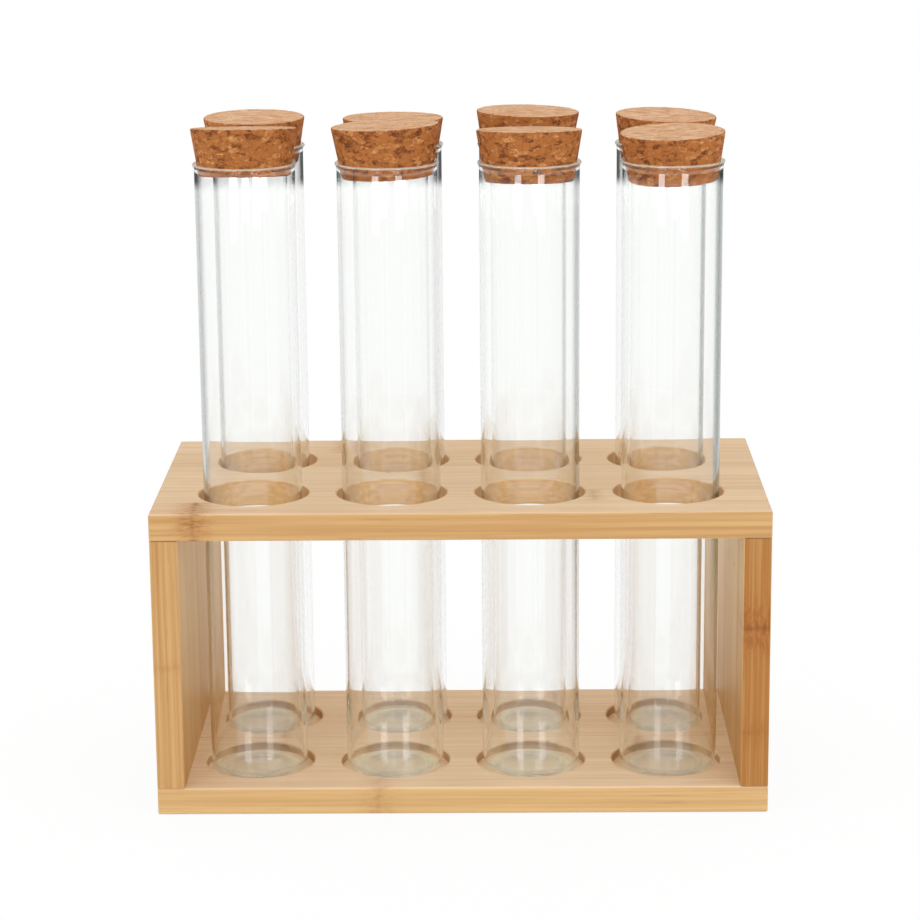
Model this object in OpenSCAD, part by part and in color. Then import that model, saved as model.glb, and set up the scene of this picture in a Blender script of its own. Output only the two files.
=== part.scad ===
// Eight flat-bottomed glass test tubes with tapered corks, standing in a bamboo rack.
// The origin lies on the table under the middle of the rack, +Z is up and the front faces -Y.

/* [Glass tubes] */
// Outside diameter of a tube
tube_d = 32; // [24:0.5:40]
// Length of a tube from its foot to its rim
tube_l = 203; // [150:1:240]
// Thickness of the glass wall
glass_t = 0.9; // [0.8:0.1:1.5]
// Thickness of the glass at the flat bottom
floor_t = 2; // [1.5:0.1:3]
// Outside radius of the heel, where the wall turns into the bottom
heel_r = 3; // [2:0.25:5]
// Rise of the hollow under the bottom, so that the tube stands on a ring
punt_h = 0.6; // [0.3:0.1:1]
// Width of the ring of glass that the tube stands on
foot_ring_w = 1.5; // [1:0.25:3]
// How far the flared lip stands out from the wall
lip_out = 0.6; // [0.5:0.1:1.2]
// Radius of the arc that flares the inside of the mouth
flare_r = 5; // [4:0.5:8]
// Radius of the fire-polished bead round the rim
bead_r = 0.6; // [0.5:0.05:0.8]
// How far each tube in the front row stands off the middle of its hole, to the right
tube_shift_front = [-0.3, -0.1, 0.1, 0.6]; // [-1.2:0.1:1.2]
// How far each tube in the back row stands off the middle of its hole, to the right
tube_shift_back = [-0.6, 0.5, 0, 0.7]; // [-1.2:0.1:1.2]

/* [Corks] */
// Taper of a cork's side, in degrees from its axis
cork_taper = 9.5; // [8:0.1:12]
// Bevel round the two ends of a cork
cork_bevel = 0.4; // [0.2:0.1:1]
// Clear space between a pressed-in cork and the glass
cork_gap = 0.1; // [0.1:0.05:0.3]
// How much narrower than the bore the bottom of each cork in the front row is
cork_play_front = [1.1, 1.1, 1.8, 1.7]; // [0.6:0.1:3]
// How much narrower than the bore the bottom of each cork in the back row is
cork_play_back = [1.6, 1.7, 1.4, 1.7]; // [0.6:0.1:3]
// Height of each cork in the front row
cork_h_front = [15.2, 16.4, 16.5, 15.5]; // [12:0.1:24]
// Height of each cork in the back row
cork_h_back = [15.4, 15.2, 16.2, 15.4]; // [12:0.1:24]
// Lean of each cork in the front row, in degrees
cork_lean_front = [5.5, 2.5, 4, 2.7]; // [0:0.1:6]
// Lean of each cork in the back row, in degrees
cork_lean_back = [1.9, 0.5, 1.5, 2.7]; // [0:0.1:6]
// Way that each cork in the front row leans, in degrees from +X
cork_way_front = [90, 155, 90, 235]; // [0:5:355]
// Way that each cork in the back row leans, in degrees from +X
cork_way_back = [270, 90, 0, 325]; // [0:5:355]

/* [Bamboo rack] */
// Height of the rack
rack_h = 101; // [70:0.5:140]
// Thickness of the top and bottom boards
board_t = 9; // [7.6:0.1:14]
// Thickness of the two side panels
panel_t = 9; // [7:0.1:14]
// Space round a tube in its hole
hole_gap = 2; // [1.25:0.25:3]
// Depth of the blind recess that each tube stands in
recess_h = 3; // [2:0.5:5]
// Space under a tube in its recess
seat_gap = 0.1; // [0.05:0.05:0.3]
// Wood left between neighbouring holes
hole_web = 9; // [6:0.5:20]
// Wood left between the last hole and the side panel
end_web = 4.5; // [2:0.1:20]
// Wood left between the holes and the front or back edge
edge_web = 10; // [5:0.5:30]
// Roundover of the edges of the boards and panels
edge_r = 0.8; // [0.4:0.1:1.5]
// Bevel round the holes and recesses
hole_bevel = 0.4; // [0.2:0.1:0.8]

/* [Dowels] */
// Diameter of the dowels that hold the panels to the boards
dowel_d = 4; // [3:0.5:5]
// Depth of a dowel in the board
dowel_in_board = 5; // [3:0.5:6]
// Depth of a dowel in the panel
dowel_in_panel = 13; // [8:0.5:20]
// Distance of a dowel from the front or back edge
dowel_inset = 22; // [8:1:36]
// Space for glue round a dowel
glue_side = 0.05; // [0.03:0.01:0.1]
// Space for glue past each end of a dowel
glue_end = 0.5; // [0.3:0.1:1]
// Bevel at the ends of a dowel
dowel_bevel = 0.5; // [0.3:0.1:1]

/* [Hidden] */
$fn = 96;
columns = 4;
rows = 2;
cut_past = 1;

// Tube, measured from its own foot
tube_r = tube_d / 2;
bore_r = tube_r - glass_t;
inner_heel_r = heel_r - glass_t;
punt_r = tube_r - heel_r - foot_ring_w;
punt_sphere_r = (punt_r * punt_r + punt_h * punt_h) / (2 * punt_h);
flare_mid_r = flare_r - glass_t / 2;
flare_angle = acos((flare_r - glass_t - lip_out + bead_r) / flare_mid_r);
flare_z = tube_l - bead_r - flare_mid_r * sin(flare_angle);

// Cork: where a side that slopes by angle a rests on the flare, cork_gap clear of the glass
function rest_r(a) = bore_r + flare_r - (flare_r + cork_gap) * cos(a);
function rest_z(a) = flare_z + (flare_r + cork_gap) * sin(a);
// Tip of the cork's cone when its sides, sloping by a and b, both rest on the flare
function tip_z(a, b) =
    (rest_z(a) * tan(a) + rest_z(b) * tan(b) - rest_r(a) - rest_r(b)) / (tan(a) + tan(b));
function tip_x(a, z) = rest_r(a) - (rest_z(a) - z) * tan(a);

// Rack
hole_d = tube_d + 2 * hole_gap;
hole_pitch = hole_d + hole_web;
rack_w = columns * hole_d + (columns - 1) * hole_web + 2 * (end_web + panel_t);
rack_d = rows * hole_d + (rows - 1) * hole_web + 2 * edge_web;
panel_h = rack_h - 2 * board_t;
panel_x = (rack_w - panel_t) / 2;
dowel_y = rack_d / 2 - dowel_inset;
recess_z = board_t - recess_h;
tube_z = recess_z + seat_gap;
function column_x(column) = (column - (columns + 1) / 2) * hole_pitch;
function row_y(row) = (row - (rows + 1) / 2) * hole_pitch;

// ---- Shared shapes ----

// Rectangle with rounded corners, about its middle
module rounded_rect(w, h, r) {
    square([w - 2 * r, h], center = true);
    square([w, h - 2 * r], center = true);
    for (x = [-1, 1], y = [-1, 1])
        translate([x * (w / 2 - r), y * (h / 2 - r)]) circle(r);
}

// Board with every edge rounded over, standing on z = 0
module board_blank() {
    translate([0, 0, board_t / 2]) intersection() {
        rotate([90, 0, 90])
            linear_extrude(rack_w, center = true) rounded_rect(rack_d, board_t, edge_r);
        rotate([90, 0, 0])
            linear_extrude(rack_d, center = true) rounded_rect(rack_w, board_t, edge_r);
        linear_extrude(board_t, center = true) rounded_rect(rack_w, rack_d, edge_r);
    }
}

// Puts its children at every place for a tube
module at_each_place() {
    for (row = [1 : rows], column = [1 : columns])
        translate([column_x(column), row_y(row), 0]) children();
}

// Round cut of height h from z = 0 up, with a bevelled mouth at its top
module bevelled_cut(h) {
    translate([0, 0, -cut_past]) cylinder(h + 2 * cut_past, d = hole_d);
    translate([0, 0, h - hole_bevel])
        cylinder(hole_bevel, d1 = hole_d, d2 = hole_d + 2 * hole_bevel);
}

// The two dowels of a joint at its face, or the holes for them with some room
module dowel_pair(side_room, end_room) {
    d = dowel_d + 2 * side_room;
    low = dowel_in_panel + end_room;
    high = dowel_in_board + end_room;
    for (y = [-dowel_y, dowel_y])
        translate([0, y, 0]) rotate_extrude()
            polygon([
                [0, -low], [d / 2 - dowel_bevel, -low], [d / 2, dowel_bevel - low],
                [d / 2, high - dowel_bevel], [d / 2 - dowel_bevel, high], [0, high]
            ]);
}

// Puts the dowels of one joint in place: side is -1 or 1, top turns them over for the lower board
module at_joint(side, top) {
    translate([side * panel_x, 0, top ? rack_h - board_t : board_t])
        mirror([0, 0, top ? 0 : 1]) children();
}

// ---- Rack ----

module top_board() {
    color("burlywood") difference() {
        translate([0, 0, rack_h - board_t]) board_blank();
        translate([0, 0, rack_h - board_t]) at_each_place() {
            bevelled_cut(board_t);
            translate([0, 0, board_t]) mirror([0, 0, 1]) bevelled_cut(board_t);
        }
        for (side = [-1, 1]) at_joint(side, true) dowel_pair(glue_side, glue_end);
    }
}

module bottom_board() {
    color("burlywood") difference() {
        board_blank();
        translate([0, 0, recess_z]) at_each_place() {
            cylinder(recess_h + cut_past, d = hole_d);
            translate([0, 0, recess_h - hole_bevel])
                cylinder(hole_bevel, d1 = hole_d, d2 = hole_d + 2 * hole_bevel);
        }
        for (side = [-1, 1]) at_joint(side, false) dowel_pair(glue_side, glue_end);
    }
}

module side_panel(side) {
    color("tan") difference() {
        translate([side * panel_x, 0, board_t])
            linear_extrude(panel_h) rounded_rect(panel_t, rack_d, edge_r);
        for (top = [false, true]) at_joint(side, top) dowel_pair(glue_side, glue_end);
    }
}

module dowels(side, top) {
    color("wheat") at_joint(side, top) dowel_pair(0, 0);
}

// ---- Tubes ----

// Half section of a body of revolution with a rounded lower corner
module heel_section(r, corner_r, h) {
    square([r - corner_r, h]);
    translate([0, corner_r]) square([r, h - corner_r]);
    translate([r - corner_r, corner_r]) circle(corner_r);
}

// Half section of the flare: a band of glass bent outwards, with the bead on its end
module flare_section() {
    reach = 2 * flare_r;
    translate([bore_r + flare_r, flare_z]) {
        intersection() {
            difference() {
                circle(flare_r);
                circle(flare_r - glass_t);
            }
            polygon([
                [0, 0], [-reach, 0],
                [-reach * cos(flare_angle), reach * sin(flare_angle)]
            ]);
        }
        translate(flare_mid_r * [-cos(flare_angle), sin(flare_angle)]) circle(bead_r);
    }
}

// Half section of the glass
module tube_section() {
    difference() {
        heel_section(tube_r, heel_r, flare_z);
        translate([0, floor_t]) heel_section(bore_r, inner_heel_r, flare_z);
        translate([0, punt_h - punt_sphere_r]) circle(punt_sphere_r, $fn = 720);
    }
    flare_section();
}

// Puts its children where the tube of a row and column stands
module at_tube(row, column) {
    shift = row == 1 ? tube_shift_front[column - 1] : tube_shift_back[column - 1];
    translate([column_x(column) + shift, row_y(row), tube_z]) children();
}

module tube(row, column) {
    color([0.8, 0.9, 0.9, 0.4])
        at_tube(row, column) rotate_extrude() tube_section();
}

// ---- Corks ----

// Cork standing on z = 0, with bevelled ends
module cork_blank(bottom_r, h) {
    slope = tan(cork_taper);
    top_r = bottom_r + h * slope;
    rotate_extrude() polygon([
        [0, 0], [bottom_r - cork_bevel, 0], [bottom_r + cork_bevel * slope, cork_bevel],
        [top_r - cork_bevel * slope, h - cork_bevel], [top_r - cork_bevel, h], [0, h]
    ]);
}

// Cork pressed into the mouth of a tube, with its top leaning the given way
module leaning_cork(play, h, lean, way) {
    bottom_r = bore_r - play / 2;
    z = tip_z(cork_taper + lean, cork_taper - lean);
    x = tip_x(cork_taper + lean, z);
    rotate([0, 0, way]) translate([x, 0, z]) rotate([0, lean, 0])
        translate([0, 0, bottom_r / tan(cork_taper)]) cork_blank(bottom_r, h);
}

module cork_front(column) {
    i = column - 1;
    color("peru") at_tube(1, column)
        leaning_cork(cork_play_front[i], cork_h_front[i], cork_lean_front[i], cork_way_front[i]);
}

module cork_back(column) {
    i = column - 1;
    color("peru") at_tube(2, column)
        leaning_cork(cork_play_back[i], cork_h_back[i], cork_lean_back[i], cork_way_back[i]);
}

top_board();
bottom_board();
side_panel(-1);  // left_side_panel
side_panel(1);  // right_side_panel
dowels(-1, true);  // dowels_top_left
dowels(1, true);  // dowels_top_right
dowels(-1, false);  // dowels_bottom_left
dowels(1, false);  // dowels_bottom_right
tube(1, 1);  // tube_front_1
tube(1, 2);  // tube_front_2
tube(1, 3);  // tube_front_3
tube(1, 4);  // tube_front_4
tube(2, 1);  // tube_back_1
tube(2, 2);  // tube_back_2
tube(2, 3);  // tube_back_3
tube(2, 4);  // tube_back_4
cork_front(1);  // cork_front_1
cork_front(2);  // cork_front_2
cork_front(3);  // cork_front_3
cork_front(4);  // cork_front_4
cork_back(1);  // cork_back_1
cork_back(2);  // cork_back_2
cork_back(3);  // cork_back_3
cork_back(4);  // cork_back_4
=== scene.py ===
import math

import bmesh
import bpy
from mathutils import Matrix, Vector, noise


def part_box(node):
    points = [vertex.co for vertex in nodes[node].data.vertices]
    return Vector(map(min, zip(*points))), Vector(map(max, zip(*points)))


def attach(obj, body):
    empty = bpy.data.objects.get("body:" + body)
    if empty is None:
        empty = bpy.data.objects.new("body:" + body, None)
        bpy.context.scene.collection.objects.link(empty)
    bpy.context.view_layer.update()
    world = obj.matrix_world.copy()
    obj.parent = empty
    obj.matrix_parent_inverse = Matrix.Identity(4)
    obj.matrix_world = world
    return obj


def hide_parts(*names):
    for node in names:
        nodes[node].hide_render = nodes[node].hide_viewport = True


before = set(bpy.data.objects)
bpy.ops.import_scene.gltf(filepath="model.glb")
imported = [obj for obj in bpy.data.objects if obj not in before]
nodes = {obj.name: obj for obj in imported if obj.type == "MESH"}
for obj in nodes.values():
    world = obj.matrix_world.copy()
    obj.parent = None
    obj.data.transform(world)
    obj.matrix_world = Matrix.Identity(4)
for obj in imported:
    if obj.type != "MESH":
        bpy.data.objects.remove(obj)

scene = bpy.context.scene
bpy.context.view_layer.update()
places = [row + "_" + str(column) for row in ("front", "back") for column in (1, 2, 3, 4)]
mm = 0.001
weld = 0.001 * mm              # points nearer than this become one
footZ, rimZ = (corner[2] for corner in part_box("tube_front_1"))     # all the tubes stand equally high
boardEnd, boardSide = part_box("top_board")[1][:2]                   # half its length and half its depth
print("frame loaded:", len(nodes), "nodes")


# Camera

camera = {
    "place": (0.01123, -0.93152, 0.33376),
    "pitch": 13.743,           # degrees below the horizon
    "yaw": 0.719,
    "roll": -0.506,
    "lens": 112.66,
    "sensor": 36,
    "clip": (0.02, 60),
    "bounces": 24,             # a look through two tubes crosses eight faces, and more after a reflection
}


def makeCamera():
    lens = bpy.data.cameras.new("productCamera")
    lens.lens, lens.sensor_width = camera["lens"], camera["sensor"]
    lens.clip_start, lens.clip_end = camera["clip"]
    made = bpy.data.objects.new("productCamera", lens)
    scene.collection.objects.link(made)
    made.matrix_world = (
        Matrix.Translation(camera["place"])
        @ Matrix.Rotation(math.radians(camera["yaw"]), 4, "Z")
        @ Matrix.Rotation(math.radians(90 - camera["pitch"]), 4, "X")
        @ Matrix.Rotation(math.radians(camera["roll"]), 4, "Z")
    )
    scene.camera = made


makeCamera()
scene.view_settings.view_transform = "Standard"
scene.cycles.max_bounces = camera["bounces"]
scene.cycles.transmission_bounces = camera["bounces"]
scene.cycles.transparent_max_bounces = camera["bounces"]
print("camera made")


# Shader helpers

class Wire:
    # a node's output: Python's operators on it add Math nodes
    def __init__(self, graph, socket):
        self.graph, self.socket = graph, socket

    def maths(self, operation, *others):
        return self.graph.maths(operation, self, *others)

    def __add__(self, other):
        return self.maths("ADD", other)

    def __mul__(self, other):
        return self.maths("MULTIPLY", other)

    def __sub__(self, other):
        return self.maths("SUBTRACT", other)

    def __rsub__(self, other):
        return self.graph.maths("SUBTRACT", other, self)

    def __truediv__(self, other):
        return self.maths("DIVIDE", other)

    def __pow__(self, other):
        return self.maths("POWER", other)

    __radd__, __rmul__ = __add__, __mul__


class Graph:
    def __init__(self, owner):
        owner.use_nodes = True
        self.tree = owner.node_tree
        self.tree.nodes.clear()

    def node(self, kind, settings=None, values=None, output=0):
        made = self.tree.nodes.new(kind)
        for name, value in (settings or {}).items():
            if name == "stops":
                for i, (place, shade) in enumerate(value):
                    stop = made.color_ramp.elements[i] if i < 2 else made.color_ramp.elements.new(place)
                    stop.position, stop.color = place, shade
            elif name == "interpolation":
                made.color_ramp.interpolation = value
            else:
                setattr(made, name, value)
        for name, value in (values or {}).items():
            if isinstance(value, Wire):
                self.tree.links.new(value.socket, made.inputs[name])
            else:
                made.inputs[name].default_value = value
        return Wire(self, made.outputs[output]) if len(made.outputs) else None

    def maths(self, operation, *values):
        return self.node("ShaderNodeMath", {"operation": operation}, dict(enumerate(values)))

    def colour(self, amount, first, second, blend="MIX"):
        settings = {"data_type": "RGBA", "blend_type": blend}
        return self.node("ShaderNodeMix", settings, {0: amount, 6: first, 7: second}, 2)

    def place(self, scale=(1, 1, 1), turn=(0, 0, 0)):
        coords = self.node("ShaderNodeTexCoord", output="Object")
        return self.node("ShaderNodeMapping", None, {"Vector": coords, "Rotation": turn, "Scale": scale})

    def noise(self, place, scale, detail=2.0, rough=0.5, warp=0.0):
        values = {"Vector": place, "Scale": scale, "Detail": detail, "Roughness": rough, "Distortion": warp}
        return self.node("ShaderNodeTexNoise", None, values)

    def between(self, value, low, high, toLow=0.0, toHigh=1.0):
        values = {0: value, 1: low, 2: high, 3: toLow, 4: toHigh}
        return self.node("ShaderNodeMapRange", {"interpolation_type": "SMOOTHSTEP"}, values)

    def path(self, name):
        return self.node("ShaderNodeLightPath", output=name)

    def either(self, first, second):
        return self.maths("MAXIMUM", first, second)

    def axis(self, vector, letter):
        return self.node("ShaderNodeSeparateXYZ", None, {0: vector}, letter)

    def bump(self, height, strength, distance):
        values = {"Strength": strength, "Distance": distance, "Height": height}
        return self.node("ShaderNodeBump", None, values, "Normal")

    def mix(self, factor, first, second):
        return self.node("ShaderNodeMixShader", None, {0: factor, 1: first, 2: second})

    def surface(self, shader, owner="Material"):
        self.node("ShaderNodeOutput" + owner, None, {"Surface": shader})


def grey(value):
    return (value, value, value, 1.0)


# Studio

studio = {
    "room": 1.0,               # light from all round
    "walls": 0.12,             # how bright they look in a reflection
    # how far down a reflection looks where the white table starts, where it ends, and where the
    # white under the rack starts, which a look from above needs
    "tableStarts": (-0.141, -0.1455),
    "tableEnds": (-0.52, -0.42),
    "underneath": (-0.72, -0.82),
    "strips": {"left": (-25.3, 15), "right": (27.3, 15)},      # azimuth and width in degrees
    "stripParts": ((-2.4, -0.8, 6.5), (-0.8, -0.37, 1.4), (0, 1.5, 5.5)),    # bottom, top, brightness
    "stripDistance": 1.2,
    "softboxes": {             # place, size and brightness
        "left": ((-1.15, -0.95, 0.55), 1.0, 0.9),
        "right": ((1.15, -0.95, 0.55), 1.0, 0.9),
        "top": ((0, 0.1, 1.3), 1.4, 0.45),
    },
    "softboxAim": (0, 0, 0.1),
    "floorHalf": 5,
    "floorDrop": 0.2 * mm,     # below the rack
    "floorWhite": 0.88,
    "floorGlow": 0.92,         # how much of it is plain white near the rack
    "floorFade": (0.15, 0.6),  # how far out it becomes all plain white
}


def rayKinds(graph):
    # first what is seen outright or through glass, then what a reflection inside the glass shows
    bounced = graph.maths("MINIMUM", graph.path("Glossy Depth"), 1)
    through = graph.path("Is Transmission Ray")
    seen = graph.either(graph.path("Is Camera Ray"), through * (1 - bounced))
    return seen, through * bounced


def makeRoom():
    world = bpy.data.worlds.new("paleRoom")
    scene.world = world
    graph = Graph(world)
    seen, inGlass = rayKinds(graph)
    down = graph.axis(graph.node("ShaderNodeTexCoord", output="Generated"), "Z")
    table = graph.between(down, *studio["tableStarts"]) * graph.between(down, *studio["tableEnds"])
    table = table + graph.between(down, *studio["underneath"])
    mirrored = table * (1 - studio["walls"]) + studio["walls"]
    level = studio["room"] + graph.either(graph.path("Is Glossy Ray"), inGlass) * (mirrored - studio["room"])
    values = {"Color": grey(1), "Strength": level * (1 - seen) + seen}
    graph.surface(graph.node("ShaderNodeBackground", None, values), "World")


def makeLight(name, place, aim, width, height, brightness):
    data = bpy.data.lights.new(name, "AREA")
    data.shape, data.size, data.size_y = "RECTANGLE", width, height
    data.energy = brightness * math.pi * width * height
    made = bpy.data.objects.new(name, data)
    scene.collection.objects.link(made)
    made.location = place
    made.rotation_euler = (Vector(aim) - Vector(place)).to_track_quat("-Z", "Y").to_euler()
    made.visible_camera = False
    return made


def makeFloor():
    shape = bmesh.new()
    bmesh.ops.create_grid(shape, x_segments=1, y_segments=1, size=studio["floorHalf"])
    bmesh.ops.translate(shape, verts=shape.verts, vec=(0, 0, -studio["floorDrop"]))
    mesh = bpy.data.meshes.new("paleFloor")
    shape.to_mesh(mesh)
    shape.free()
    floor = bpy.data.objects.new("paleFloor", mesh)
    scene.collection.objects.link(floor)
    floor.visible_glossy = False               # the strips reach below it in the glass
    material = bpy.data.materials.new("floorPaint")
    graph = Graph(material)
    seen, inGlass = rayKinds(graph)
    matt = graph.node("ShaderNodeBsdfDiffuse", None, {"Color": grey(studio["floorWhite"])})
    glow = graph.node("ShaderNodeEmission", None, {"Color": grey(1), "Strength": 1.0})
    away = graph.node("ShaderNodeVectorMath", {"operation": "LENGTH"}, {0: graph.place()}, "Value")
    share = graph.between(away, *studio["floorFade"], studio["floorGlow"], 1)
    bare = graph.node("ShaderNodeBsdfTransparent", None, {"Color": grey(1)})
    graph.surface(graph.mix(inGlass, graph.mix(seen * share, matt, glow), bare))
    mesh.materials.append(material)


def makeStudio():
    makeRoom()
    far = studio["stripDistance"]
    for name, (azimuth, spread) in studio["strips"].items():
        a = math.radians(azimuth)
        width = 2 * far * math.tan(math.radians(spread / 2))
        for low, high, brightness in studio["stripParts"]:
            place = (far * math.sin(a), -far * math.cos(a), (low + high) / 2)
            strip = makeLight(name + "Strip", place, (0, 0, place[2]), width, high - low, brightness)
            strip.visible_diffuse = False      # seen in glass and sheen, it lights nothing matt
    for name, (place, size, brightness) in studio["softboxes"].items():
        softbox = makeLight(name + "Softbox", place, studio["softboxAim"], size, size, brightness)
        softbox.visible_glossy = name == "top"
        softbox.visible_transmission = False
    makeFloor()


makeStudio()
print("studio made")


# Pieces

def addPiece(name, shape, material, sharp):
    mesh = bpy.data.meshes.new(name)
    shape.to_mesh(mesh)
    shape.free()
    mesh.shade_smooth()
    mesh.set_sharp_from_angle(angle=math.radians(sharp))
    mesh.materials.append(material)
    piece = bpy.data.objects.new(name, mesh)
    scene.collection.objects.link(piece)
    return piece


# Glass tubes

tubeGlass = {
    "wall": 0.9 * mm,
    "floor": 2 * mm,
    "heel": 3 * mm,
    "punt": 0.6 * mm,          # the hollow under the foot
    "footRing": 1.5 * mm,      # the flat ring round it
    "lipOut": 0.6 * mm,        # how far the bead stands out
    "flare": 5 * mm,
    "bead": 0.6 * mm,
    "sides": 128,
    "steps": {"punt": 8, "heel": 12, "flare": 8, "bead": 18, "floor": 10},
    "keep": 0.3 * mm,          # rings this near a bend keep the straight parts straight in a reflection
    "sharp": 40,
    "ior": 1.5,
    "clear": (0.992, 0.996, 0.992, 1.0),
    "shadow": (0.985, 0.99, 0.986, 1.0),
    # painted shade: the sides of a tube are tinted darker, most of all those that look away from the set's
    # middle
    "paintedShade": (0.34, 0.39, 0.35, 1.0),
    "paintedShadePower": 2.6,
    "paintedShadeShares": (0.12, 0.7),                 # on every side, and more on the outer ones
    "edge": (0.10, 0.13, 0.11, 1.0),
    "edgeFacing": (0.54, 0.68),
    "paintedShadeShift": Vector((22 * mm, 0, 0)),       # moves that middle, so that the painted shade is darkest on the right edges
    "outerSides": (-30 * mm, 95 * mm),
    # heights above the foot, each from and to
    "sidesDarken": (1.9 * mm, 123.9 * mm),
    "footEnds": (2.3 * mm, 4.9 * mm),
    "lumpsEnd": (-0.1 * mm, 4.9 * mm),
    # depths below the rim, each from and to
    "sidesClear": (4.1 * mm, 1.6 * mm),
    "lipStarts": (1.9 * mm, 1.1 * mm),
    "rimHighlightStarts": (0.8 * mm, 0.4 * mm),
    "lipClear": 0.6,
    "paintedRimHighlight": 0.28,            # painted highlight: the rim's top is whitened as if it catches the light
    # distances from the tube's own axis, each from and to
    "ringsStart": (8 * mm, 10.5 * mm),
    "footClears": (10.5 * mm, 13.5 * mm),
    "cloudEnds": (13 * mm, 15 * mm),
    "foot": (0.92, 0.97, 0.90, 1.0),
    "haze": (0.93, 0.90, 0.83, 1.0),
    "hazeGreen": (0.74, 0.86, 0.60, 1.0),
}


def lineTo(shape, corner, x, z):
    made = bmesh.ops.extrude_vert_indiv(shape, verts=[corner])["verts"][0]
    made.co = (x, 0, z)
    return made


def arcRound(shape, corner, x, z, degrees, steps):
    # turns from +X towards +Z, with the arc's middle at x, z
    turned = bmesh.ops.spin(shape, geom=[corner], cent=(x, 0, z), axis=(0, -1, 0),
                            angle=math.radians(degrees), steps=steps)
    return [e for e in turned["geom_last"] if isinstance(e, bmesh.types.BMVert)][0]


def glassOutline(shape, radius, length):
    names = ("wall", "floor", "heel", "punt", "flare", "bead", "keep", "steps")
    wall, floor, heel, punt, flare, bead, keep, steps = (tubeGlass[name] for name in names)

    # the bead sits on the middle of the wall, on the flare's arc
    bore, middle = radius - wall, flare - wall / 2
    bend = math.degrees(math.acos((flare - wall - tubeGlass["lipOut"] + bead) / middle))
    away = bore + flare
    beadX = away - middle * math.cos(math.radians(bend))
    beadZ = length - bead
    flareZ = beadZ - middle * math.sin(math.radians(bend))

    def bendAtBead(arc):
        # how far the outer or the inner face turns before it meets the bead
        share = (arc * arc + middle * middle - bead * bead) / (2 * arc * middle)
        return bend - math.degrees(math.acos(share))

    outerBend, innerBend = bendAtBead(flare - wall), bendAtBead(flare)
    turn = math.radians(innerBend)
    inner = Vector((away - flare * math.cos(turn), flareZ + flare * math.sin(turn)))
    heelX = radius - heel
    puntX = heelX - tubeGlass["footRing"]
    dome = (puntX * puntX + punt ** 2) / (2 * punt)
    floorBend = floor + heel - wall

    at = shape.verts.new((0, 0, punt))
    at = arcRound(shape, at, 0, punt - dome, -math.degrees(math.asin(puntX / dome)), steps["punt"])
    at = lineTo(shape, at, heelX, 0)
    at = arcRound(shape, at, heelX, heel, 90, steps["heel"])
    for z in (heel + keep, flareZ - keep, flareZ):
        at = lineTo(shape, at, radius, z)
    at = arcRound(shape, at, away, flareZ, -outerBend, steps["flare"])
    first = math.degrees(math.atan2(at.co.z - beadZ, at.co.x - beadX))
    last = math.degrees(math.atan2(inner.y - beadZ, inner.x - beadX))
    at = arcRound(shape, at, beadX, beadZ, (last - first) % 360, steps["bead"])
    at = arcRound(shape, at, away, flareZ, innerBend, steps["flare"])
    for z in (flareZ - keep, floorBend + keep, floorBend):
        at = lineTo(shape, at, bore, z)
    at = arcRound(shape, at, heelX, floorBend, -90, steps["floor"])
    at = lineTo(shape, at, heelX - keep, floor)
    lineTo(shape, at, 0, floor)


def makeTube(place, material):
    low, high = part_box("tube_" + place)
    radius = (high[0] - low[0]) / 2 - tubeGlass["lipOut"]
    shape = bmesh.new()
    glassOutline(shape, radius, high[2] - low[2])
    bmesh.ops.spin(shape, geom=shape.verts[:] + shape.edges[:], cent=(0, 0, 0), axis=(0, 0, 1),
                   angle=2 * math.pi, steps=tubeGlass["sides"], use_merge=True)
    bmesh.ops.remove_doubles(shape, verts=shape.verts, dist=weld)
    bmesh.ops.recalc_face_normals(shape, faces=shape.faces)
    middle = Vector(((low[0] + high[0]) / 2, (low[1] + high[1]) / 2, 0))
    away = shape.verts.layers.float.new("away")            # distance from the tube's own axis
    # the next value also sets how much painted shade each side of the tube gets
    outer = shape.verts.layers.float.new("outer")          # how far a side looks away from the set's middle
    for v in shape.verts:
        v[away] = math.hypot(v.co.x, v.co.y)
        v[outer] = (middle + tubeGlass["paintedShadeShift"]).dot(v.co) / max(v[away], mm)
    bmesh.ops.translate(shape, verts=shape.verts, vec=middle + Vector((0, 0, low[2])))
    piece = addPiece("glassTube_" + place, shape, material, tubeGlass["sharp"])
    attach(piece, "tube_" + place)
    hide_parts("tube_" + place)


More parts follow.
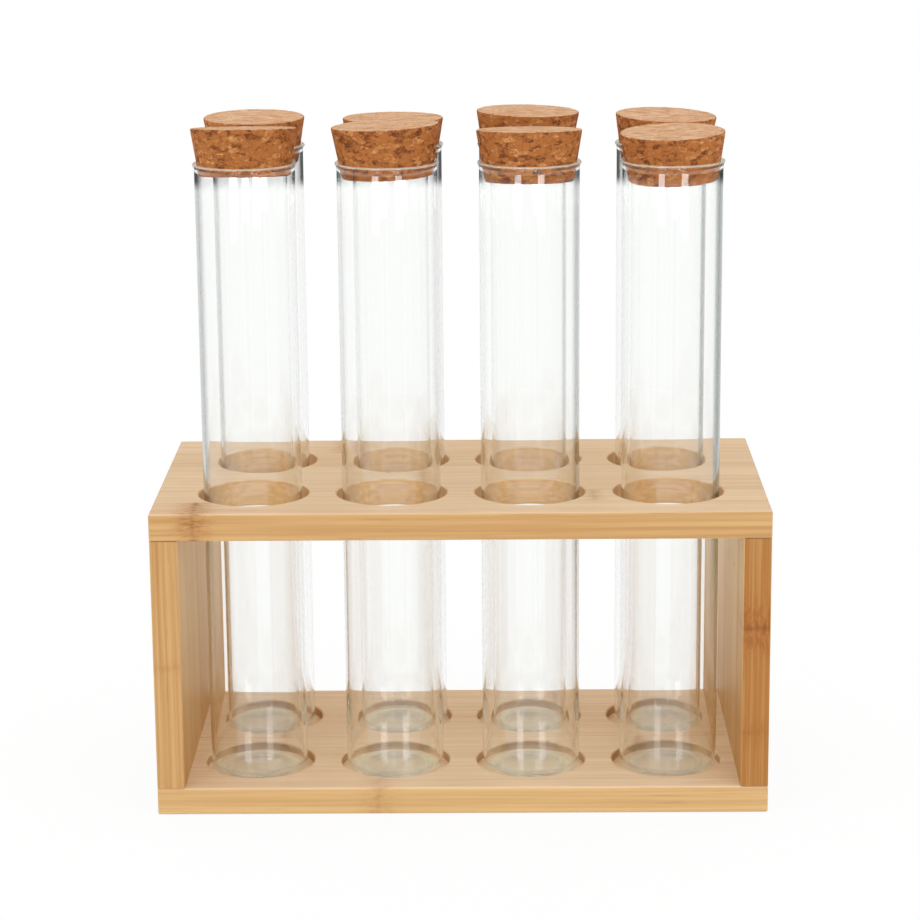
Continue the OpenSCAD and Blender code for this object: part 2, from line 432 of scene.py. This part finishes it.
def glassMaterial():
    material = bpy.data.materials.new("clearGlass")
    graph = Graph(material)
    height = graph.axis(graph.place(), "Z")

    def aboveFoot(name, low, high):
        return graph.between(height, *(footZ + level for level in tubeGlass[name]), low, high)

    def belowRim(name, low, high):
        return graph.between(height, *(rimZ - level for level in tubeGlass[name]), low, high)

    # painted shade: a darker tint towards the sides and a dark line at the edges, most on the outer sides
    facing = graph.node("ShaderNodeLayerWeight", None, {"Blend": 0.5}, "Facing")
    standing = aboveFoot("sidesDarken", 0.1, 1) * belowRim("sidesClear", 1, 0.1)
    outer = graph.node("ShaderNodeAttribute", {"attribute_name": "outer"}, None, "Fac")
    outer = graph.between(outer, *tubeGlass["outerSides"], 0.03, 1)
    every, more = tubeGlass["paintedShadeShares"]
    paintedShade = facing ** tubeGlass["paintedShadePower"] * standing * (outer * more + every)
    edge = graph.between(facing, *tubeGlass["edgeFacing"]) * standing * outer
    foot = aboveFoot("footEnds", 1, 0)
    tint = graph.colour(paintedShade, tubeGlass["clear"], tubeGlass["paintedShade"])
    tint = graph.colour(edge, tint, tubeGlass["edge"])
    tint = graph.colour(foot, tint, tubeGlass["foot"])
    lumps = graph.noise(graph.place(), 380, 2, 0.5, 0.5) * aboveFoot("lumpsEnd", 1, 0)
    glass = graph.node("ShaderNodeBsdfPrincipled", None, {
        "Base Color": tint, "Roughness": 0.0, "IOR": tubeGlass["ior"],
        "Transmission Weight": 1.0, "Normal": graph.bump(lumps, 0.5, 0.08 * mm)})
    clear = graph.node("ShaderNodeBsdfTransparent", None, {"Color": tubeGlass["shadow"]})

    # the thick foot is a little milky, with pressed rings near its edge
    away = graph.node("ShaderNodeAttribute", {"attribute_name": "away"}, None, "Fac")
    around = graph.node("ShaderNodeCombineXYZ", None, {"X": away * 14, "Y": height * 2})
    swirl = graph.node("ShaderNodeMapping", None, {"Vector": graph.place(), "Scale": (0.55, 0.55, 1)})
    around = graph.node("ShaderNodeVectorMath", {"operation": "ADD"}, {0: around, 1: swirl})
    rings = graph.between(graph.noise(around, 130, 2, 0.6), 0.5, 0.62)
    rings = rings * graph.between(away, *tubeGlass["ringsStart"])
    specks = graph.between(graph.noise(graph.place(), 900, 1), 0.62, 0.7)
    milkAndHighlight = graph.colour(rings, tubeGlass["haze"], tubeGlass["hazeGreen"])
    milkAndHighlight = graph.node("ShaderNodeBsdfPrincipled", None, {"Base Color": milkAndHighlight, "Roughness": 0.6})
    bare = foot * graph.between(away, *tubeGlass["footClears"], 0.3, 0.95)
    bare = bare + belowRim("lipStarts", 0, tubeGlass["lipClear"])
    milkAndHighlightShare = foot * graph.between(away, *tubeGlass["cloudEnds"], 1, 0.15)
    # painted highlight: the same milky white also goes on the rim's top
    milkAndHighlightShare = milkAndHighlightShare * (rings * 0.38 + specks * 0.1 + 0.12) + belowRim("rimHighlightStarts", 0, tubeGlass["paintedRimHighlight"])
    body = graph.mix(milkAndHighlightShare, graph.mix(bare, glass, clear), milkAndHighlight)

    # to light and shade it is barely there
    lit = graph.mix(graph.path("Is Diffuse Ray"), body, clear)
    graph.surface(graph.mix(graph.path("Is Shadow Ray"), lit, clear))
    return material


glass = glassMaterial()
for place in places:
    makeTube(place, glass)
print("glass tubes made")


# Bamboo rack

bamboo = {
    "pale": (0.88, 0.68, 0.455, 1.0),
    "deep": (0.50, 0.235, 0.07, 1.0),
    "cane": (0.49, 0.19, 0.045, 1.0),     # round a knuckle
    "node": (0.24, 0.095, 0.03, 1.0),
    "endGrain": (0.50, 0.28, 0.12, 1.0),
    # the end grain inside the holes: darker as end grain, and with painted shade
    "drilledAndShaded": (0.42, 0.22, 0.085, 1.0),
    "recessShade": (0.25, 0.13, 0.045, 1.0),
    "recessShadeShare": {"bottom_board": 0.8},    # painted shade: how much the sides of the recesses are darkened
    # tints of the faces: the narrow ones are richer, and those inside a hole less so
    "narrow": (0.84, 0.72, 0.485, 1.0),
    "topNarrow": (0.80, 0.66, 0.425, 1.0),
    "boredNarrow": (0.93, 0.77, 0.52, 1.0),
    "panelWide": (1.0, 1.0, 0.83, 1.0),
    # how far from the sides and ends of a board the faces of its holes stop
    "boredAcross": (4.5 * mm, 3.5 * mm),
    "boredAlong": (9 * mm, 7 * mm),
    "rough": 0.42,
    # painted shade and light: the panels darken downwards between these heights
    "panelShadeFade": (8 * mm, 95 * mm),
    "paintedLowerShade": -0.34,
    "paintedUpperLight": {"left_side_panel": 0.1, "right_side_panel": 0.3},
    "glueHalf": 0.12,          # mm to either side of a joint
    "glueTone": 0.72,
    "rampHalf": 60,            # mm from the middle that the strips' ramp reaches
    # across the grain in mm: where each glued strip starts, and its tone
    "strips": {
        "top_board": ((-60, 0.70), (-35.5, 0.73), (-21.5, 0.68), (11.5, 0.64), (31, 0.71)),
        "bottom_board": ((-60, 0.82), (-26, 0.86), (-0.5, 0.76), (24, 0.76)),
        "left_side_panel": ((-60, 0.41), (-23, 0.50), (5, 0.42), (29, 0.50)),
        "right_side_panel": ((-60, 0.06), (-27, 0.55), (-2, 0.44), (26, 0.52)),
    },
    "knuckleLine": 0.8,        # how wide a knuckle's dark line is, in mm
    # knuckles of the cane in mm: along the grain, across it from and to, how wide and how dark
    "knuckles": {
        "top_board": ((-85, -60, -35.5, 5, 0.9), (43, -35.5, -21.5, 3, 0.4), (-12, -21.5, 11.5, 3, 0.35),
                      (70, 11.5, 31, 4, 0.5), (-40, 31, 60, 4, 0.7)),
        "bottom_board": ((-27, -60, -26, 5, 0.35), (58, -26, -0.5, 4, 0.5), (-61, -0.5, 24, 3, 0.5),
                         (35, 24, 60, 4, 0.7)),
        "left_side_panel": ((50, -60, -23, 2, 0.25), (66, -23, 5, 3, 0.35), (37, 5, 29, 3, 0.3),
                            (78, 29, 60, 4, 0.6)),
        "right_side_panel": ((62, -60, -27, 8, 1.5), (27, -60, -27, 4, 0.5), (31, -27, -2, 3, 0.3),
                             (58, -2, 26, 3, 0.3), (22, 26, 60, 4, 0.6)),
    },
    # pin knots in mm: along the grain, across it, radius
    "pinKnots": {
        "top_board": (-24.7, 3.5, 0.8),
        "bottom_board": (29, -5, 0.7),
        "left_side_panel": (31, 14, 0.7),
        "right_side_panel": (74, -16, 0.8),
    },
}


def stripTones(node):
    # one value for each strip, with a thin dark glue line between two
    glue, reach, stops = bamboo["glueHalf"], bamboo["rampHalf"], []
    for i, (start, tone) in enumerate(bamboo["strips"][node]):
        if i:
            stops.append(((start - glue + reach) / (2 * reach), grey(tone * bamboo["glueTone"])))
            start += glue
        stops.append(((start + reach) / (2 * reach), grey(tone)))
    return stops


def isUpright(node):
    return node.endswith("panel")


def knuckleMarks(graph, node, here, flecks):
    # a soft glow and a dark flecked line for each knuckle, both inside their own strip
    along, across = (graph.axis(here, letter) for letter in "XY")
    wander = graph.node("ShaderNodeMapping", None, {"Vector": here, "Scale": (0, 210, 210)})
    wander = (graph.noise(wander, 1, 2) - 0.5) * (3 * mm)
    falloff = lambda value, width: (value * value * (-1 / (width * width))).maths("EXPONENT")
    glows, marks = None, None
    for at, low, high, wide, dark in bamboo["knuckles"][node]:
        off = (along - at * mm + wander) / mm
        line, haze = falloff(off, bamboo["knuckleLine"]), falloff(off, wide)
        inside = across.maths("GREATER_THAN", low * mm) * across.maths("LESS_THAN", high * mm)
        glow = haze * (flecks * 0.5 + 0.5) * inside * dark
        mark = (line * 0.4 + haze * flecks * 0.35) * inside * dark
        glows = glow if glows is None else graph.either(glows, glow)
        marks = mark if marks is None else graph.either(marks, mark)
    return glows, marks


def pinKnot(graph, node, here):
    along, across = (graph.axis(here, letter) for letter in "XY")
    knotX, knotY, size = (value * mm for value in bamboo["pinKnots"][node])
    off = graph.node("ShaderNodeCombineXYZ", None, {"X": along - knotX, "Y": across - knotY})
    off = graph.node("ShaderNodeVectorMath", {"operation": "LENGTH"}, {0: off}, "Value")
    return graph.between(off, size * 0.4, size * 1.3, 0.9, 0)


def faceTint(graph, node, colour, narrow, bored):
    narrowTint = bamboo["topNarrow" if node == "top_board" else "narrow"]
    narrowTint = graph.colour(bored, narrowTint, bamboo["boredNarrow"])
    wideTint = bamboo["panelWide"] if isUpright(node) else grey(1)
    rich = graph.colour(1.0, colour, narrowTint, "MULTIPLY")
    return graph.colour(narrow, graph.colour(1.0, colour, wideTint, "MULTIPLY"), rich)


def endGrainColour(graph, here, bored):
    # the dark dots of the cane's vessels
    flat = graph.node("ShaderNodeMapping", None, {"Vector": here, "Scale": (120, 1, 1)})
    values = {"Vector": flat, "Scale": 1150.0}
    dots = graph.node("ShaderNodeTexVoronoi", {"feature": "F1"}, values, "Distance")
    ends = graph.colour(graph.between(dots, 0.15, 0.42, 1, 0) * 0.55, bamboo["endGrain"], bamboo["node"])
    # inside the holes the end grain is darker, its own tone with painted shade
    return graph.colour(bored, ends, bamboo["drilledAndShaded"])


def bambooMaterial(node):
    material = bpy.data.materials.new("bamboo_" + node)
    graph = Graph(material)
    upright = isUpright(node)
    turn = (0, math.radians(90), 0) if upright else (0, 0, 0)
    here = graph.place(turn=turn)              # X along the grain, Y across the strips
    along, across = (graph.axis(here, letter) for letter in "XY")
    toRamp = (across + bamboo["rampHalf"] * mm) / (2 * bamboo["rampHalf"] * mm)
    settings = {"interpolation": "CONSTANT", "stops": stripTones(node)}
    tone = graph.node("ShaderNodeValToRGB", settings, {0: toRamp})
    tone = graph.node("ShaderNodeRGBToBW", None, {0: tone})
    shift = graph.node("ShaderNodeCombineXYZ", None, {"X": tone * 3.7, "Y": tone * 1.9, "Z": tone * 0.7})
    own = graph.node("ShaderNodeVectorMath", {"operation": "ADD"}, {0: here, 1: shift})
    stretch = lambda x, y: graph.node("ShaderNodeMapping", None, {"Vector": own, "Scale": (x, y, y)})

    facing = graph.node("ShaderNodeTexCoord", output="Normal")
    facing = graph.node("ShaderNodeMapping", {"vector_type": "VECTOR"}, {"Vector": facing, "Rotation": turn})
    endways, sideways = (graph.axis(facing, letter) for letter in "XY")
    narrow = graph.between(sideways * sideways, 0.3, 0.8)
    broad = graph.noise(stretch(4, 70), 1, 2, 0.5, 0.3)
    fibres = graph.noise(stretch(7, 620), 1, 3, 0.65, 0.15)
    fine = graph.noise(stretch(22, 2300), 1, 2, 0.6)
    dashes = graph.between(graph.noise(stretch(55, 1500), 1, 1, 0.5), 0.66, 0.76)
    amount = graph.between(broad, 0.25, 0.75, -0.07, 0.07) + graph.between(fibres, 0.3, 0.7, -0.12, 0.12)
    amount = tone + amount * (narrow * 0.7 + 1) + (fine - 0.5) * 0.2
    if upright:
        # painted shade: the wide faces darken downwards and lighten upwards, the narrow faces slightly the
        # other way
        lowest, highest = bamboo["panelShadeFade"]
        wide = graph.between(along, lowest, highest, bamboo["paintedLowerShade"], bamboo["paintedUpperLight"][node])
        wide = wide + (0.5 - tone) * 0.6           # the strips differ less there
        amount = amount + wide * (1 - narrow)
        amount = amount + graph.between(along, lowest, highest, 0.03, -0.06) * narrow
    colour = graph.colour(amount, bamboo["deep"], bamboo["pale"])
    colour = graph.colour(dashes * 0.18, colour, bamboo["node"])

    flecks = graph.between(graph.noise(stretch(260, 900), 1, 2, 0.6), 0.42, 0.6)
    glows, marks = knuckleMarks(graph, node, here, flecks)
    if upright:                                # fainter on the panels' wide faces
        glows, marks = glows * (narrow * 0.75 + 0.25), marks * (narrow * 0.75 + 0.25)
    marks = graph.either(marks, pinKnot(graph, node, here))
    colour = graph.colour(glows * 0.7, colour, bamboo["cane"])
    colour = graph.colour(marks * 0.7, colour, bamboo["node"])

    fromSides = (boardSide - off for off in bamboo["boredAcross"])
    fromEnds = (boardEnd - off for off in bamboo["boredAlong"])
    bored = graph.between(across.maths("ABSOLUTE"), *fromSides, 1, 0)
    bored = bored * graph.between(along.maths("ABSOLUTE"), *fromEnds, 1, 0)
    endGrain = graph.between(endways * endways, 0.25, 0.9)
    colour = faceTint(graph, node, colour, narrow, bored)
    colour = graph.colour(endGrain * 0.85, colour, endGrainColour(graph, here, bored))
    # painted shade on the sides of the recesses
    colour = graph.colour(bored * narrow * bamboo["recessShadeShare"].get(node, 0.0), colour, bamboo["recessShade"])

    rough = bamboo["rough"] + (1 - amount) * 0.12 + endGrain * 0.15
    height = fine * 0.35 + fibres * 0.5 + tone * 0.8 - dashes * 0.3 - marks * 0.4
    graph.surface(graph.node("ShaderNodeBsdfPrincipled", None, {
        "Base Color": colour, "Roughness": rough, "Specular IOR Level": 0.25,
        "Normal": graph.bump(height, 0.35, 0.06 * mm)}))
    return material


def dress(node, material):
    for slot in nodes[node].material_slots:
        slot.material = material


for node in bamboo["strips"]:
    dress(node, bambooMaterial(node))


dowelWood = {
    "pale": (0.74, 0.58, 0.38, 1.0),
    "deep": (0.58, 0.42, 0.25, 1.0),
    "pore": (0.34, 0.21, 0.11, 1.0),
}


def dowelMaterial():
    material = bpy.data.materials.new("turnedDowelWood")
    graph = Graph(material)
    streaks = graph.noise(graph.place(scale=(900, 900, 14)), 1, 3, 0.6, 0.2)
    pores = graph.between(graph.noise(graph.place(scale=(2600, 2600, 90)), 1, 1), 0.62, 0.72)
    colour = graph.colour(graph.between(streaks, 0.3, 0.7), dowelWood["deep"], dowelWood["pale"])
    colour = graph.colour(pores * 0.5, colour, dowelWood["pore"])
    graph.surface(graph.node("ShaderNodeBsdfPrincipled", None, {
        "Base Color": colour, "Roughness": 0.5 + pores * 0.2,
        "Normal": graph.bump(streaks - pores, 0.3, 0.05 * mm)}))
    return material


plainWood = dowelMaterial()
for node in nodes:
    if node.startswith("dowels"):
        dress(node, plainWood)
print("bamboo and dowels dressed")


# Corks

corkLook = {
    # the skin: its mesh, the size of a granule in it, and how deep granules and pits are pressed
    "voxel": 0.42 * mm,
    "grain": 1.5 * mm,
    "relief": 0.07 * mm,
    "pit": 0.55 * mm,
    "seam": 0.22,              # width of the seam between two granules, as a share of one
    "pitFrom": 0.86,           # the granules above this are pits
    "pitSize": (0.28, 0.9),    # the least, and how fast it grows
    # the colours: the sizes of two layers of granules, and how crooked they are
    "granule": 2.3 * mm,
    "crumb": 1.0 * mm,
    "warp": 1.3 * mm,
    "sharp": 180,              # no edge stays sharp
    "dark": (0.12, 0.036, 0.012, 1.0),
    "red": (0.22, 0.062, 0.013, 1.0),
    "mid": (0.44, 0.150, 0.034, 1.0),
    "light": (0.65, 0.31, 0.11, 1.0),
    "sawn": (0.58, 0.30, 0.135, 1.0),
    "top": (0.82, 0.57, 0.37, 1.0),
    "pressed": (0.95, 0.93, 0.84, 1.0),        # painted shade: a little darker where the cork sits inside the tube
    "pressedEnds": (-4.1 * mm, 1.9 * mm),      # above the rim of the tube
}


def corkMaterial():
    material = bpy.data.materials.new("pressedCork")
    graph = Graph(material)
    values = {"Vector": graph.place(), "Scale": 420.0, "Detail": 2.0}
    warp = graph.node("ShaderNodeTexNoise", None, values, "Color")
    warp = graph.node("ShaderNodeVectorMath", {"operation": "SCALE"}, {0: warp, "Scale": corkLook["warp"]})
    here = graph.node("ShaderNodeVectorMath", {"operation": "ADD"}, {0: graph.place(), 1: warp})
    flat = graph.node("ShaderNodeMapping", None, {"Vector": here, "Scale": (1, 1, 1.7)})
    shades, seam = [], None
    for size in (corkLook["granule"], corkLook["crumb"]):
        cells = {"Vector": flat, "Scale": 1 / size, "Randomness": 1.0}
        cell = graph.node("ShaderNodeTexVoronoi", {"feature": "F1"}, cells, "Color")
        shades.append(graph.node("ShaderNodeSeparateColor", None, {0: cell}, 0))
        edge = graph.node("ShaderNodeTexVoronoi", {"feature": "DISTANCE_TO_EDGE"}, cells, "Distance")
        line = graph.between(edge, 0.0, 0.1, 1, 0)
        seam = line if seam is None else graph.either(seam, line * 0.6)
    shade = shades[0] * 0.68 + shades[1] * 0.32
    small = graph.noise(graph.place(), 1500, 3, 0.65)
    blotch = graph.noise(graph.place(), 230, 2, 0.5)
    grains = graph.node("ShaderNodeValToRGB", {"interpolation": "LINEAR", "stops": (
        (0.0, corkLook["dark"]), (1.0, corkLook["light"]), (0.18, corkLook["red"]),
        (0.42, corkLook["mid"]), (0.68, corkLook["mid"]))},
        {0: shade + (small - 0.5) * 0.5 + (blotch - 0.5) * 0.5})
    cap = graph.between(graph.axis(graph.node("ShaderNodeTexCoord", output="Normal"), "Z"), 0.6, 0.9)
    # painted shade on the part of the cork inside the tube
    pressed = (rimZ + level for level in corkLook["pressedEnds"])
    pressed = graph.between(graph.axis(graph.place(), "Z"), *pressed, 1, 0)
    grains = graph.colour(pressed, grains, corkLook["pressed"], "MULTIPLY")
    streaks = graph.noise(graph.place(scale=(200, 760, 700)), 1, 3, 0.65, 0.8)
    sawn = graph.colour(graph.between(streaks, 0.38, 0.62), corkLook["sawn"], corkLook["top"])
    sawn = graph.colour(0.22, sawn, grains)
    colour = graph.colour(cap, grains, sawn)
    colour = graph.colour(seam * (cap * -0.3 + 0.4), colour, corkLook["red"])
    pit = graph.node("ShaderNodeAttribute", {"attribute_name": "pit"}, None, "Fac")
    colour = graph.colour(pit * 0.8, colour, corkLook["dark"])
    height = small * 0.6 - seam + shade * 0.3
    graph.surface(graph.node("ShaderNodeBsdfPrincipled", None, {
        "Base Color": colour, "Roughness": 0.72 + seam * 0.2, "Specular IOR Level": 0.2,
        "Normal": graph.bump(height, 0.6, 0.12 * mm)}))
    return material


def makeCork(place, material):
    # a fine skin over the cork's own solid, then granules and pits pressed into it
    shape = bmesh.new()
    shape.from_mesh(nodes["cork_" + place].data)
    bmesh.ops.remove_doubles(shape, verts=shape.verts, dist=weld)
    piece = addPiece("corkStopper_" + place, shape, material, corkLook["sharp"])
    skin = piece.modifiers.new("skin", "REMESH")
    skin.mode, skin.voxel_size, skin.use_smooth_shade = "VOXEL", corkLook["voxel"], True
    dense = bpy.data.meshes.new_from_object(piece.evaluated_get(bpy.context.evaluated_depsgraph_get()))
    piece.modifiers.clear()
    piece.data = dense
    pits = dense.attributes.new("pit", "FLOAT", "POINT")
    normals = [v.normal.copy() for v in dense.vertices]
    least, growth = corkLook["pitSize"]
    for v, out in zip(dense.vertices, normals):
        p = v.co / corkLook["grain"]
        near, spots = noise.voronoi(p)
        cut = max(0.0, 1 - (near[1] - near[0]) / corkLook["seam"])
        over = noise.cell(spots[0] * 7.3) - corkLook["pitFrom"]
        hole = max(0.0, 1 - near[0] / (least + growth * over)) ** 0.6 if over > 0 else 0.0
        swell = 0.6 * (noise.noise(p * 0.45) + 1)
        v.co -= out * (corkLook["relief"] * (cut + swell) + corkLook["pit"] * hole)
        pits.data[v.index].value = hole
    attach(piece, "cork_" + place)
    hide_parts("cork_" + place)


cork = corkMaterial()
for place in places:
    makeCork(place, cork)
print("corks made")

bpy.context.view_layer.update()
